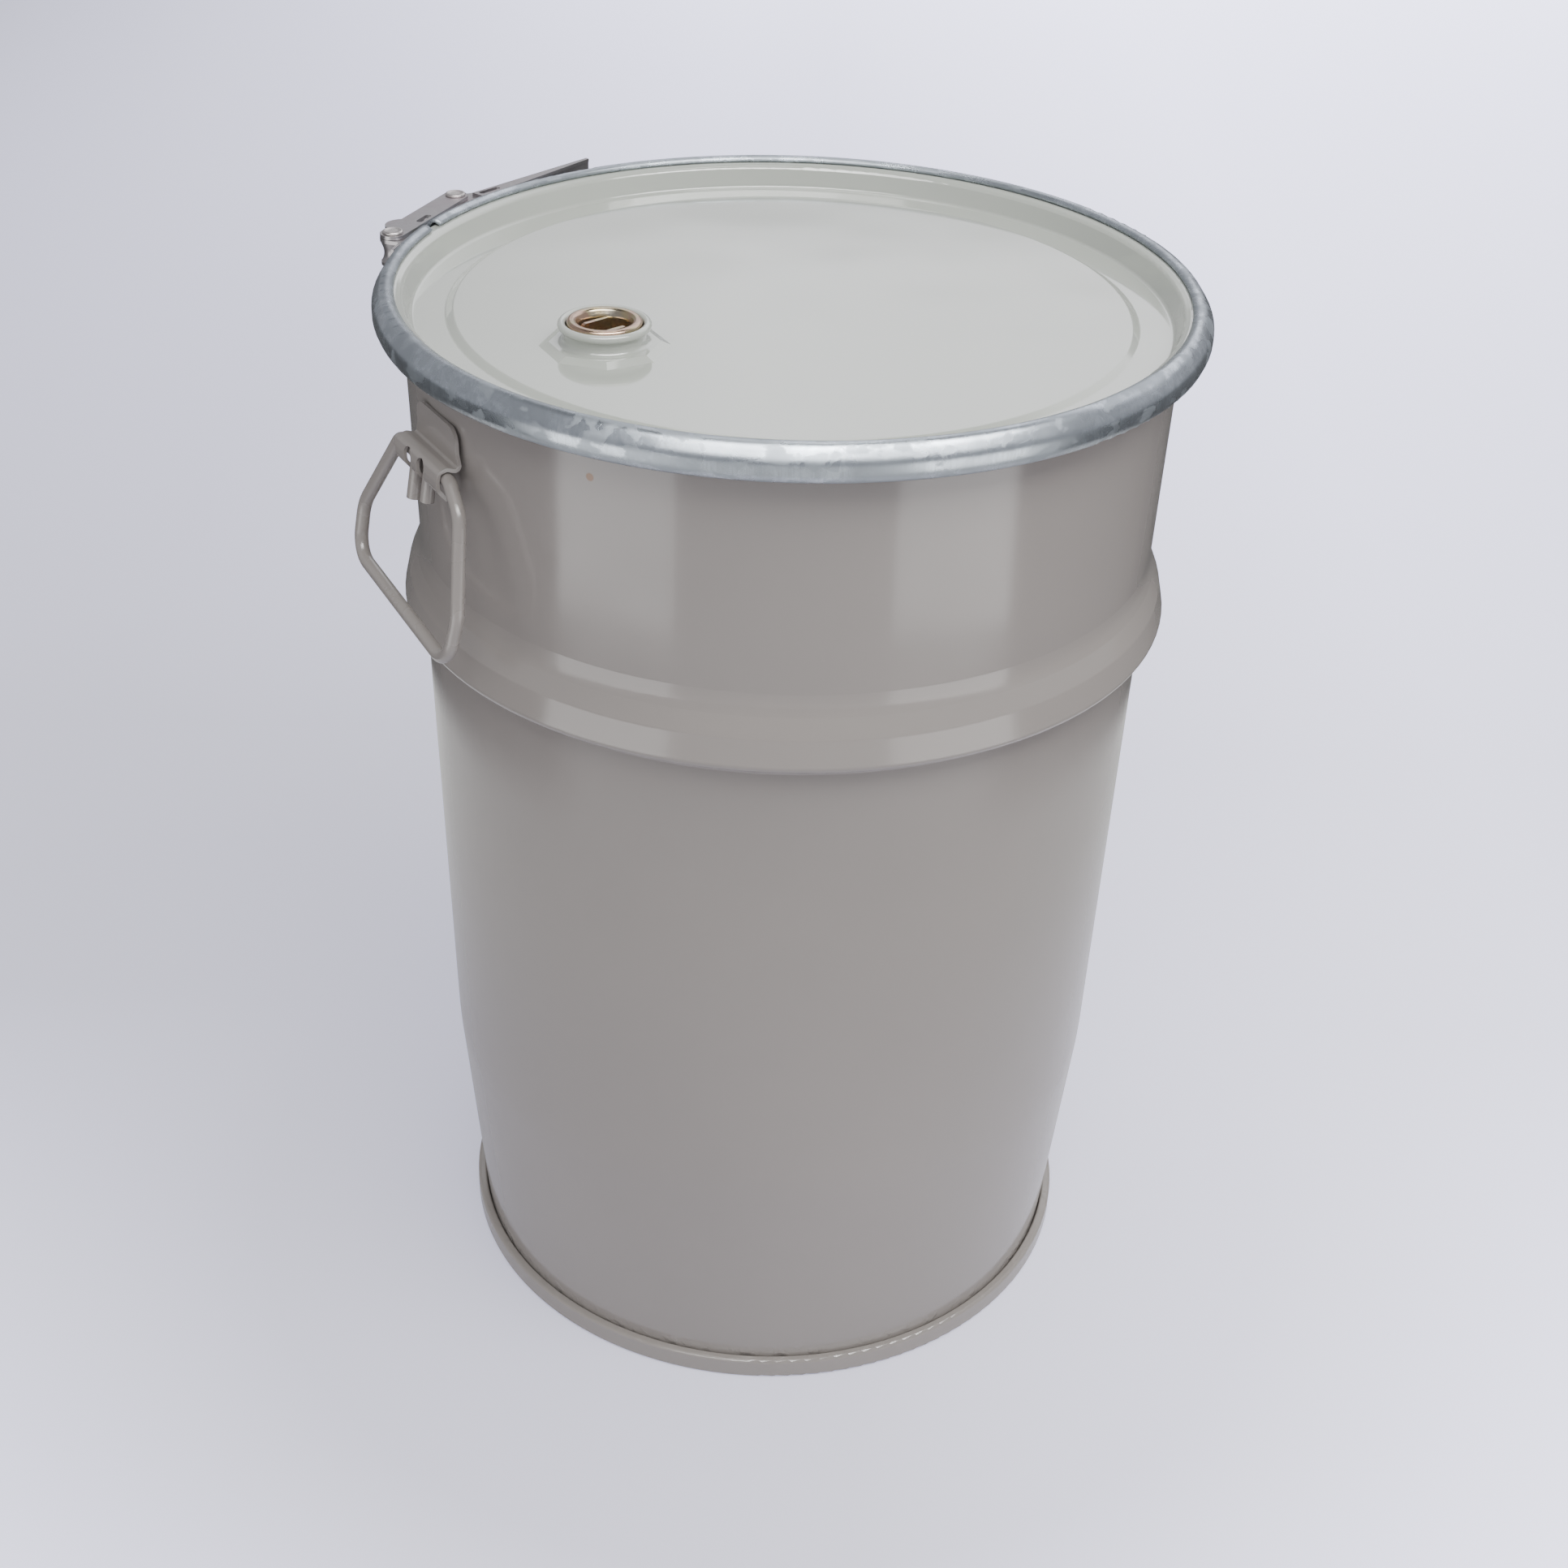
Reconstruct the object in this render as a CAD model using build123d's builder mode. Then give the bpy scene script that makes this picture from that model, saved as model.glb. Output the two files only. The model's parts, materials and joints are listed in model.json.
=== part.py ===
"""Tapered steel overpack salvage drum: open head with lid, closing ring, screw bung and two bail handles.

Frame: millimetres, +Z up, origin at the centre of the chime's resting plane.
The bung and the lever lock face -X; the two bail handles sit at opposite sides.
Radii are measured from the drum's axis unless a comment says otherwise.
"""

from build123d import *
import os
from math import cos, radians, sin

os.makedirs("parts", exist_ok=True)

# ---------------------------------------------------------------- driving dimensions
GAP = 0.1  # air between neighbouring pieces
CLEAR = 30.0  # size of a cut that only has to pass right through
BODY_SHEET = 1.0
LID_SHEET = 1.0
RING_SHEET = 1.5
LOCK_SHEET = 1.8
HOOD_SHEET = 1.8

# body
CHIME_RADIUS = 172.4
CHIME_HEIGHT = 11.4
FOOT_RADIUS = 167.1  # outside of the body wall where it leaves the chime
BEND_RADIUS = 177.6  # outside of the wall where the cone's slope changes
BEND_Z = 139.0
BEAD_RADIUS = 193.3
BEAD_FOOT_RADIUS = 183.0
BEAD_FOOT_Z = 395.0
BEAD_Z = 401.5
LAND_TOP_RADIUS = 190.0
LAND_TOP_Z = 416.0
NECK_RADIUS = 183.6  # outside of the wall just above the bead
NECK_Z = 430.5
MOUTH_RADIUS = 186.3
MOUTH_Z = 543.0
CURL_RADIUS = 3.2  # inside radius of the rolled mouth
CURL_Z = 550.5

# bottom
HEAD_Z = 9.0  # underside of the recessed bottom
SEAM_WELL_RADIUS = FOOT_RADIUS - 2 * BODY_SHEET - GAP

# lid
PANEL_Z = 547.5
PANEL_RADIUS = 162.4
WELL_Z = 545.5
WELL_INNER_RADIUS = 165.9
WELL_OUTER_RADIUS = 182.3
LID_TOP_Z = 557.4
LID_RADIUS = 195.2
LID_SKIRT_Z = 549.5

# closing ring
RING_RADIUS = 200.0
RING_LIP_RADIUS = 189.3
RING_LIP_Z = 559.0
RING_CROWN_Z = 560.5
RING_FOOT_Z = 543.6
RING_GAP = 9.0
RING_GAP_ANGLE = 161.6

# bung, on the lid's panel
BUNG_X = -85.6
BUNG_Y = -62.8
BOSS_ACROSS = 56.0
BOSS_RISE = 2.0
BOSS_TURN = 6.5
COLLAR_RADIUS = 19.0
COLLAR_RIM_RADIUS = 21.6
COLLAR_BEAD = 1.9
COLLAR_Z = 557.6
INSERT_RADIUS = 17.3
INSERT_FOOT_Z = 541.0
INSERT_TOP_Z = 555.9
THREAD_RADIUS = 13.12  # plain cylinder in place of the plug's thread
THREAD_GAP = 0.08
PLUG_RADIUS = 17.35
PLUG_FOOT_Z = 541.5
PLUG_TOP_Z = 560.2
PLUG_BORE = 11.8
EAR_TURN = 43.0

# lever lock: its straight line runs tangent to the ring at LOCK_RADIUS
LOCK_RADIUS = 206.6
LOCK_ANGLE = 160.0
BRACKET_PIN = -18.8  # places of the three rivets along that line
LEVER_PIN = 21.2
LINK_PIN = 47.2
LINK_WIDTH = 13.0
LINK_Z = 555.4
LEVER_Z = 553.2
LEVER_SHEET = 2.0
LUG_SHEET = 2.0
ARM_RADIUS = 208.1  # the lever's arm is tangent to this circle
ARM_ANGLE = 141.3
ARM_LENGTH = 73.6
ARM_WIDTH = 7.2
ARM_FOOT_Z = 543.5
PIN_RADIUS = 2.5
PIN_GAP = 0.08
PIN_HEAD = 5.2
PIN_TAIL = 4.4
RIVET_HEAD = 1.6
RIVET_DIMPLE = 0.5
STRAP_SHEET = 1.5

# bail handles
HANDLE_ANGLES = {"left": 211.5, "right": 31.5}
WIRE_RADIUS = 3.3
BARREL_RADIUS = 193.0  # the handle's hinge line
BARREL_Z = 505.0
HANDLE_SWINGS = {"left": 10.0, "right": 0.0}  # how far each handle stands out from plumb at rest
HANDLE_SKEWS = {"left": 5.0, "right": -5.0}  # each bail sits askew in its hood
HOOD_LENGTH = 47.0
HOOD_SHIFT = 2.2  # the hood stands off the bail's middle
HOOD_BORE = 3.9
HOOD_DROP = 10.2
PLATE_WIDTH = 43.0
PLATE_TOP_Z = 527.0
HOOD_FOLD_Z = 509.2
PLATE_RADIUS = 186.05


def bent_sheet(points, radii, sheet, side):
    """Section of bent sheet: one surface follows the points, the other lies one sheet to that side."""
    with BuildSketch() as section:
        with BuildLine():
            FilletPolyline(*points, radius=radii)
            offset(amount=sheet, side=side)
        make_face()
    return section.sketch_local


def closed_profile(points, radii):
    """Face inside the points, closed by a straight line from the last back to the first."""
    with BuildSketch() as section:
        with BuildLine():
            profile = FilletPolyline(*points, radius=radii)
            Line(profile @ 1, profile @ 0)
        make_face()
    return section.sketch_local


def octagon(across):
    """Eight-sided outline turned as the bung's boss is."""
    with BuildSketch() as section:
        RegularPolygon(across / 2, 8, major_radius=False, rotation=BOSS_TURN)
    return section.sketch_local


def spin_plane(x, y):
    """Upright sketch plane whose vertical axis stands at x, y."""
    return Plane(origin=(x, y, 0), x_dir=(1, 0, 0), z_dir=(0, -1, 0))


def upright(x, y):
    """Vertical axis through x, y."""
    return Axis((x, y, 0), (0, 0, 1))


def tangent_plane(radius, angle, z):
    """Level plane on the drum's outside: x runs clockwise round the drum, y points outward."""
    a = radians(angle)
    return Plane(
        origin=(radius * cos(a), radius * sin(a), z),
        x_dir=(sin(a), -cos(a), 0),
        z_dir=(0, 0, 1),
    )


def save(part, label):
    """Label a finished piece and write it."""
    part.label = label
    export_step(part, f"parts/{label}.step")


# ---------------------------------------------------------------- body and bottom
SEAM_HOOK_RADIUS = CHIME_RADIUS - 2 * BODY_SHEET - 2 * GAP
SEAM_HOOK_Z = CHIME_HEIGHT - BODY_SHEET - 9 * GAP
body_foot_z = 2 * BODY_SHEET + GAP
body_points = [
    (SEAM_HOOK_RADIUS, SEAM_HOOK_Z),
    (SEAM_HOOK_RADIUS, body_foot_z),
    (FOOT_RADIUS, body_foot_z),
    (FOOT_RADIUS, CHIME_HEIGHT + 1),
    (BEND_RADIUS, BEND_Z),
    (BEAD_FOOT_RADIUS, BEAD_FOOT_Z),
    (BEAD_RADIUS, BEAD_Z),
    (LAND_TOP_RADIUS, LAND_TOP_Z),
    (NECK_RADIUS, NECK_Z),
    (MOUTH_RADIUS, MOUTH_Z),
    (MOUTH_RADIUS, CURL_Z),
]
body_radii = [0.4, 0.4, 20, 200, 2, 3.5, 6, 25, 60]
with BuildPart() as drum_shell:
    with BuildSketch(Plane.XZ):
        with BuildLine():
            wall = FilletPolyline(*body_points, radius=body_radii)
            JernArc(start=wall @ 1, tangent=(0, 1), radius=CURL_RADIUS, arc_size=-270)
            offset(amount=BODY_SHEET, side=Side.LEFT)
        make_face()
    revolve(axis=Axis.Z)
save(drum_shell.part, "drum_shell")

HEAD_HOOK_RADIUS = FOOT_RADIUS + 3 * GAP
HEAD_HOOK_Z = 3.6
head_points = [
    (0, HEAD_Z),
    (SEAM_WELL_RADIUS, HEAD_Z),
    (SEAM_WELL_RADIUS, 0),
    (CHIME_RADIUS, 0),
    (CHIME_RADIUS, CHIME_HEIGHT),
    (HEAD_HOOK_RADIUS, CHIME_HEIGHT),
    (HEAD_HOOK_RADIUS, HEAD_HOOK_Z),
]
with BuildPart() as bottom_head:
    with BuildSketch(Plane.XZ):
        add(bent_sheet(head_points, [2, 1.4, 1.6, 1.6, 1.2], BODY_SHEET, Side.LEFT))
    revolve(axis=Axis.Z)
save(bottom_head.part, "bottom_head")

# sealing compound between the two hooks of the seam
COMPOUND_HEIGHT = 5.6
compound_inner = HEAD_HOOK_RADIUS + BODY_SHEET + GAP / 2
compound_outer = SEAM_HOOK_RADIUS - GAP / 2
with BuildPart() as seam_compound:
    with BuildSketch(Plane.XY.offset(HEAD_HOOK_Z)):
        Circle(compound_outer)
        Circle(compound_inner, mode=Mode.SUBTRACT)
    extrude(amount=COMPOUND_HEIGHT)
save(seam_compound.part, "seam_compound")

# ---------------------------------------------------------------- lid
BOSS_TOP_Z = PANEL_Z + BOSS_RISE
BOSS_SLOPE = 65  # from the vertical
BOSS_HOLLOW_ACROSS = BOSS_ACROSS - LID_SHEET
LID_SHOULDER = (185.6, LID_TOP_Z - 1.4)
LID_CREST_RADIUS = 188.8
COLLAR_SHEET = 1.0
COLLAR_FLARE = 2.5
collar_bore = COLLAR_RADIUS - COLLAR_SHEET
collar_foot = BOSS_TOP_Z - COLLAR_SHEET
collar_flare_radius = COLLAR_RADIUS + COLLAR_FLARE
lid_points = [
    (0, PANEL_Z),
    (PANEL_RADIUS, PANEL_Z),
    (WELL_INNER_RADIUS, WELL_Z),
    (WELL_OUTER_RADIUS, WELL_Z),
    LID_SHOULDER,
    (LID_CREST_RADIUS, LID_TOP_Z),
    (LID_RADIUS, LID_TOP_Z),
    (LID_RADIUS, LID_SKIRT_Z),
]
with BuildPart() as lid:
    with BuildSketch(Plane.XZ):
        add(bent_sheet(lid_points, [2, 2, 2, 2.5, 3, 2.2], LID_SHEET, Side.RIGHT))
    revolve(axis=Axis.Z)
    # eight-sided boss pressed up round the bung
    with BuildSketch(Plane.XY.offset(PANEL_Z)):
        with Locations((BUNG_X, BUNG_Y)):
            add(octagon(BOSS_ACROSS))
    extrude(amount=BOSS_RISE, taper=BOSS_SLOPE)
    with BuildSketch(Plane.XY.offset(PANEL_Z - LID_SHEET)):
        with Locations((BUNG_X, BUNG_Y)):
            add(octagon(BOSS_HOLLOW_ACROSS))
    extrude(amount=BOSS_RISE, taper=BOSS_SLOPE, mode=Mode.SUBTRACT)
    # collar drawn up from the boss, with a rolled rim
    with BuildSketch(spin_plane(BUNG_X, BUNG_Y)):
        with BuildLine():
            bore = Line((collar_bore, COLLAR_Z), (collar_bore, collar_foot))
            foot = Line(bore @ 1, (collar_flare_radius, collar_foot))
            edge = Line(foot @ 1, (collar_flare_radius, BOSS_TOP_Z))
            flare = JernArc(edge @ 1, tangent=(-1, 0), radius=COLLAR_FLARE, arc_size=-90)
            side = Line(flare @ 1, (COLLAR_RADIUS, COLLAR_Z))
            Line(side @ 1, bore @ 0)
        make_face()
        with Locations((COLLAR_RIM_RADIUS - COLLAR_BEAD, COLLAR_Z)):
            Circle(COLLAR_BEAD)
    revolve(axis=upright(BUNG_X, BUNG_Y))
    with Locations((BUNG_X, BUNG_Y, BOSS_TOP_Z)):
        Cylinder(collar_bore, 4 * BOSS_RISE, mode=Mode.SUBTRACT)
save(lid.part, "lid")

GASKET_RADIUS = 193.0
GASKET_WIDTH = 3.5
gasket_z = CURL_Z + CURL_RADIUS + BODY_SHEET + GAP
gasket_height = LID_TOP_Z - LID_SHEET - GAP - gasket_z
with BuildPart() as lid_gasket:
    with BuildSketch(Plane.XY.offset(gasket_z)):
        Circle(GASKET_RADIUS)
        Circle(GASKET_RADIUS - GASKET_WIDTH, mode=Mode.SUBTRACT)
    extrude(amount=gasket_height)
save(lid_gasket.part, "lid_gasket")

# ---------------------------------------------------------------- closing ring
ring_points = [
    (RING_LIP_RADIUS, RING_LIP_Z),
    (RING_LIP_RADIUS + 3.0, RING_CROWN_Z),
    (RING_RADIUS - 5.0, RING_CROWN_Z),
    (RING_RADIUS, RING_CROWN_Z - 7.2),
    (RING_RADIUS, RING_FOOT_Z + 4.4),
    (RING_RADIUS - 1.8, RING_FOOT_Z),
    (RING_LIP_RADIUS + 0.5, RING_FOOT_Z + 0.3),
]
with BuildPart() as clamp_ring:
    with BuildSketch(Plane.XZ):
        add(bent_sheet(ring_points, [2.2, 4.0, 6.0, 2.2, 2.4], RING_SHEET, Side.RIGHT))
    revolve(axis=Axis.Z)
    # the band is split under the lever lock
    with BuildSketch(Plane.XY.offset(RING_FOOT_Z - GAP)):
        with PolarLocations(RING_RADIUS, 1, start_angle=RING_GAP_ANGLE):
            Rectangle(CLEAR, RING_GAP)
    extrude(amount=CLEAR, mode=Mode.SUBTRACT)
save(clamp_ring.part, "clamp_ring")

# ---------------------------------------------------------------- bung: insert, plug and seals
INSERT_ACROSS = 48.0
INSERT_BASE = 2.9
INSERT_LEAD = 1.0
INSERT_GASKET = 1.0
insert_gasket_z = BOSS_TOP_Z - LID_SHEET - GAP - INSERT_GASKET
insert_base_z = insert_gasket_z - GAP - INSERT_BASE
insert_height = INSERT_TOP_Z - INSERT_FOOT_Z
with BuildPart() as bung_flange:
    with BuildSketch(Plane.XY.offset(insert_base_z)):
        with Locations((BUNG_X, BUNG_Y)):
            add(octagon(INSERT_ACROSS))
    extrude(amount=INSERT_BASE)
    with BuildSketch(Plane.XY.offset(INSERT_FOOT_Z)):
        with Locations((BUNG_X, BUNG_Y)):
            Circle(INSERT_RADIUS)
    extrude(amount=insert_height)
    with Locations((BUNG_X, BUNG_Y, INSERT_TOP_Z)):
        Hole(THREAD_RADIUS + THREAD_GAP)
    foot_rims = bung_flange.edges().filter_by(GeomType.CIRCLE).group_by(Axis.Z)[0]
    foot_rim = foot_rims.sort_by(SortBy.RADIUS)[-1]
    chamfer(foot_rim, length=INSERT_LEAD)
save(bung_flange.part, "bung_flange")

with BuildPart() as bung_flange_gasket:
    with BuildSketch(Plane.XY.offset(insert_gasket_z)):
        with Locations((BUNG_X, BUNG_Y)):
            Circle(INSERT_ACROSS / 2 - 1.2)
            Circle(INSERT_RADIUS + GAP, mode=Mode.SUBTRACT)
    extrude(amount=INSERT_GASKET)
save(bung_flange_gasket.part, "bung_flange_gasket")

PLUG_GASKET = 0.9
PLUG_GASKET_RADIUS = 16.8
with BuildPart() as plug_gasket:
    with BuildSketch(Plane.XY.offset(INSERT_TOP_Z + GAP / 2)):
        with Locations((BUNG_X, BUNG_Y)):
            Circle(PLUG_GASKET_RADIUS)
            Circle(THREAD_RADIUS + 3 * GAP, mode=Mode.SUBTRACT)
    extrude(amount=PLUG_GASKET)
save(plug_gasket.part, "plug_gasket")

PLUG_FLOOR = 2.0
PLUG_MOUTH = 13.5
rim_z = INSERT_TOP_Z + PLUG_GASKET + GAP
plug_points = [
    (0, PLUG_FOOT_Z),
    (THREAD_RADIUS, PLUG_FOOT_Z),
    (THREAD_RADIUS, rim_z),
    (PLUG_RADIUS, rim_z),
    (PLUG_RADIUS, PLUG_TOP_Z),
    (PLUG_MOUTH, PLUG_TOP_Z),
    (PLUG_BORE, rim_z),
    (PLUG_BORE, PLUG_FOOT_Z + PLUG_FLOOR),
    (0, PLUG_FOOT_Z + PLUG_FLOOR),
]
with BuildPart() as bung_plug:
    with BuildSketch(spin_plane(BUNG_X, BUNG_Y)):
        add(closed_profile(plug_points, [1.0, 0, 1.2, 1.6, 1.8, 4.0, 1.5]))
    revolve(axis=upright(BUNG_X, BUNG_Y))
save(bung_plug.part, "bung_plug")

# U-shaped strip with two upright ears that a bung wrench grips
EAR_SHEET = 2.0
EAR_SPACING = 15.6  # over the ears' outsides
EAR_TOP_Z = 557.4
EAR_WIDTH = 15.4
EAR_CORNER = 2.0
EAR_BEND = 3.0
strip_z = PLUG_FOOT_Z + PLUG_FLOOR + GAP / 2
ear_points = [
    (-EAR_SPACING / 2, EAR_TOP_Z),
    (-EAR_SPACING / 2, strip_z),
    (EAR_SPACING / 2, strip_z),
    (EAR_SPACING / 2, EAR_TOP_Z),
]
ear_way = (cos(radians(EAR_TURN)), sin(radians(EAR_TURN)), 0)
ear_across = (-ear_way[1], ear_way[0], 0)
with BuildPart() as plug_wrench_insert:
    with BuildSketch(Plane(origin=(BUNG_X, BUNG_Y, 0), x_dir=ear_across, z_dir=ear_way)):
        add(bent_sheet(ear_points, [EAR_BEND, EAR_BEND], EAR_SHEET, Side.LEFT))
    extrude(amount=EAR_WIDTH / 2, both=True)
    ear_ends = plug_wrench_insert.faces().group_by(Axis.Z)[-1].edges()
    fillet(ear_ends.filter_by(Axis((0, 0, 0), ear_across)), radius=EAR_CORNER)
save(plug_wrench_insert.part, "plug_wrench_insert")

# ---------------------------------------------------------------- lever lock
lock = tangent_plane(LOCK_RADIUS, LOCK_ANGLE, 0)
arm = tangent_plane(ARM_RADIUS, ARM_ANGLE, 0)
lock_turn = LOCK_ANGLE - 90
strap_inner = RING_RADIUS + GAP / 2


def pin_place(along, z=0):
    """Place in the drum's frame of a rivet at a distance along the lock's line."""
    spot = lock.from_local_coords((along, 0, z))
    return (spot.X, spot.Y, spot.Z)


def in_arm(along):
    """The same place in the lever arm's own plane."""
    spot = arm.to_local_coords(pin_place(along))
    return (spot.X, spot.Y)


def strap_outline(start, end):
    """Strap on the ring's outside between two distances along the lock's line."""
    with BuildSketch() as section:
        Circle(strap_inner + STRAP_SHEET)
        Circle(strap_inner, mode=Mode.SUBTRACT)
        with Locations(Location(pin_place((start + end) / 2), (0, 0, lock_turn))):
            Rectangle(end - start, CLEAR, mode=Mode.INTERSECT)
    return section.sketch_local


def lug_outline(along, radius):
    """Lug round a rivet, reaching in to the strap."""
    reach = LOCK_RADIUS - strap_inner + 2
    with BuildSketch() as section:
        with Locations(Location(pin_place(along), (0, 0, lock_turn))):
            Circle(radius)
            with Locations((0, -reach / 2)):
                Rectangle(2 * radius, reach)
        Circle(strap_inner, mode=Mode.SUBTRACT)
    return section.sketch_local


def rivet_section(foot_z, top_z, head, tail):
    """Half section of a rivet with a dimpled head; a head or tail of no radius is left out."""
    base = foot_z - RIVET_HEAD
    crown = top_z + RIVET_HEAD
    if tail:
        points = [(0, base), (tail, base), (tail, foot_z)]
        radii = [0.6, 0.3]
    else:
        points = [(0, foot_z)]
        radii = []
    points += [(PIN_RADIUS, foot_z), (PIN_RADIUS, top_z)]
    radii += [0, 0]
    if head:
        points += [
            (head, top_z),
            (head, crown),
            (head / 2, crown - RIVET_DIMPLE),
            (0, crown - RIVET_DIMPLE),
        ]
        radii += [0.3, 0.9, 2.0]
    else:
        points += [(0, top_z)]
    return closed_profile(points, radii)


LEVER_STRAP = (11, 37)
LEVER_LUG_RADIUS = 7.0
STRAP_FOOT_Z = 545.5
lever_lug_z = LEVER_Z - 2 * GAP - LUG_SHEET
with BuildPart() as lever_bracket:
    with BuildSketch(Plane.XY.offset(STRAP_FOOT_Z)):
        add(strap_outline(*LEVER_STRAP))
    extrude(amount=lever_lug_z + LUG_SHEET - STRAP_FOOT_Z)
    with BuildSketch(Plane.XY.offset(lever_lug_z)):
        add(lug_outline(LEVER_PIN, LEVER_LUG_RADIUS))
    extrude(amount=LUG_SHEET)
    with Locations(pin_place(LEVER_PIN, LEVER_Z)):
        Hole(PIN_RADIUS + PIN_GAP)
save(lever_bracket.part, "lever_bracket")

LINK_STRAP = (-36, -7)
LINK_LUG_RADIUS = 6.6
FUNNEL_WAIST = 4.2
FUNNEL_SHEET = 1.5
FUNNEL_FOOT_Z = 541.4
FUNNEL_WINDOW = 8.0
link_lug_z = LINK_Z - 2 * GAP - LOCK_SHEET
funnel_top = link_lug_z + LOCK_SHEET
funnel_mid = (funnel_top + FUNNEL_FOOT_Z) / 2 - 1
funnel_points = [
    (LINK_LUG_RADIUS, funnel_top - 0.5),
    (LINK_LUG_RADIUS - 0.4, funnel_top - 2.5),
    (FUNNEL_WAIST, funnel_mid),
    (LINK_LUG_RADIUS - 0.4, FUNNEL_FOOT_Z + 2),
    (LINK_LUG_RADIUS, FUNNEL_FOOT_Z + 0.5),
]
with BuildPart() as link_bracket:
    with BuildSketch(Plane.XY.offset(STRAP_FOOT_Z)):
        add(strap_outline(*LINK_STRAP))
    extrude(amount=funnel_top - STRAP_FOOT_Z)
    for lug_z in (link_lug_z, FUNNEL_FOOT_Z):
        with BuildSketch(Plane.XY.offset(lug_z)):
            add(lug_outline(BRACKET_PIN, LINK_LUG_RADIUS))
        extrude(amount=LOCK_SHEET)
    # waisted sheet between the lugs, open towards the lever
    with BuildSketch(spin_plane(*pin_place(BRACKET_PIN)[:2])):
        add(bent_sheet(funnel_points, [2, 8, 2], FUNNEL_SHEET, Side.RIGHT))
    revolve(axis=upright(*pin_place(BRACKET_PIN)[:2]))
    with BuildSketch(Plane.XY.offset(FUNNEL_FOOT_Z + LOCK_SHEET)):
        with Locations(Location(pin_place(BRACKET_PIN + FUNNEL_WINDOW / 2 + 1), (0, 0, lock_turn))):
            Rectangle(FUNNEL_WINDOW, FUNNEL_WINDOW)
    extrude(amount=link_lug_z - FUNNEL_FOOT_Z - LOCK_SHEET, mode=Mode.SUBTRACT)
    with Locations(pin_place(BRACKET_PIN, LINK_Z)):
        Hole(PIN_RADIUS + PIN_GAP)
save(link_bracket.part, "link_bracket")

# lever: flat root with two rivet holes, then a channel that follows the ring
ROOT_RADIUS = 6.5
LINK_EYE_RADIUS = 7.0
NECK_EDGE = 2.0
NECK_END = 5.0
RAISED_START = -12.0
TAPER_START = 5.0
WEB_START = -6.0
WEB_CORNER = 5.0
ARM_TIP_WIDTH = 2.1
ARM_TOP_Z = LEVER_Z + LEVER_SHEET + LOCK_SHEET
SLOT_LENGTH = 14.0
SLOT_WIDTH = 3.4
SLOT_PLACE = (-3.0, -3.4)
eye_x, eye_y = in_arm(LINK_PIN)
with BuildPart() as lock_lever:
    with BuildSketch(arm.offset(LEVER_Z)):
        with Locations(in_arm(LEVER_PIN)):
            Circle(ROOT_RADIUS)
        with Locations(in_arm(LINK_PIN)):
            Circle(LINK_EYE_RADIUS)
        make_hull()
        with BuildLine():
            Polyline(
                (eye_x, eye_y + LINK_EYE_RADIUS - 0.5),
                (NECK_EDGE, 0),
                (NECK_END, 0),
                (NECK_END, -ARM_WIDTH),
                (eye_x, -ARM_WIDTH),
                close=True,
            )
        make_face()
    extrude(amount=LEVER_SHEET)
    # raised top flange, narrowing towards the free end
    with BuildSketch(arm.offset(LEVER_Z + LEVER_SHEET)):
        with BuildLine():
            Polyline(
                (RAISED_START, 0),
                (ARM_LENGTH, 0),
                (ARM_LENGTH, -ARM_TIP_WIDTH),
                (TAPER_START, -ARM_WIDTH),
                (RAISED_START, -ARM_WIDTH),
                close=True,
            )
        make_face()
    extrude(amount=LOCK_SHEET)
    with BuildSketch(arm.offset(LEVER_Z)):
        with Locations(SLOT_PLACE):
            SlotOverall(SLOT_LENGTH, SLOT_WIDTH)
    extrude(amount=LEVER_SHEET + LOCK_SHEET, mode=Mode.SUBTRACT)
    # outer web
    with BuildSketch(Plane(arm.origin, x_dir=arm.x_dir, z_dir=-arm.y_dir)):
        with BuildLine():
            FilletPolyline(
                (WEB_START, ARM_TOP_Z),
                (ARM_LENGTH, ARM_TOP_Z),
                (ARM_LENGTH, ARM_FOOT_Z),
                (WEB_START + 7, ARM_FOOT_Z),
                (WEB_START, ARM_FOOT_Z + 6),
                radius=[0, 0, WEB_CORNER, WEB_CORNER, 2],
                close=True,
            )
        make_face()
    extrude(amount=LOCK_SHEET)
    # lower flange
    with BuildSketch(arm.offset(ARM_FOOT_Z)):
        with BuildLine():
            Polyline(
                (TAPER_START, 0),
                (ARM_LENGTH - WEB_CORNER, 0),
                (ARM_LENGTH - WEB_CORNER, -ARM_TIP_WIDTH),
                (TAPER_START, -ARM_WIDTH + 1),
                close=True,
            )
        make_face()
    extrude(amount=LOCK_SHEET)
    with Locations(pin_place(LEVER_PIN, LEVER_Z), pin_place(LINK_PIN, LEVER_Z)):
        Hole(PIN_RADIUS + PIN_GAP)
save(lock_lever.part, "lock_lever")

# link: flat bar from the lever's eye over the lever's pivot to the other ring end
LINK_HUMP = (BRACKET_PIN + 13, 1.8)
LINK_HUMP_RADIUS = 8.8
LINK_SLOT = (BRACKET_PIN + 26, -3.2)
LINK_SLOT_LENGTH = 12.0
link_half = LINK_WIDTH / 2
with BuildPart() as lock_link:
    with BuildSketch(lock.offset(LINK_Z)):
        with Locations((BRACKET_PIN, 0), (LINK_PIN, 0)):
            Circle(link_half)
        make_hull()
        with Locations(LINK_HUMP):
            Circle(LINK_HUMP_RADIUS)
        with Locations(LINK_SLOT):
            SlotOverall(LINK_SLOT_LENGTH, SLOT_WIDTH, mode=Mode.SUBTRACT)
    extrude(amount=LOCK_SHEET)
    # the bar stays clear of the ring's outside
    with BuildSketch(Plane.XY.offset(LINK_Z)):
        Circle(RING_RADIUS + 2 * GAP)
    extrude(amount=LOCK_SHEET, mode=Mode.SUBTRACT)
    with Locations(pin_place(BRACKET_PIN, LINK_Z), pin_place(LINK_PIN, LINK_Z)):
        Hole(PIN_RADIUS + PIN_GAP)
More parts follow.
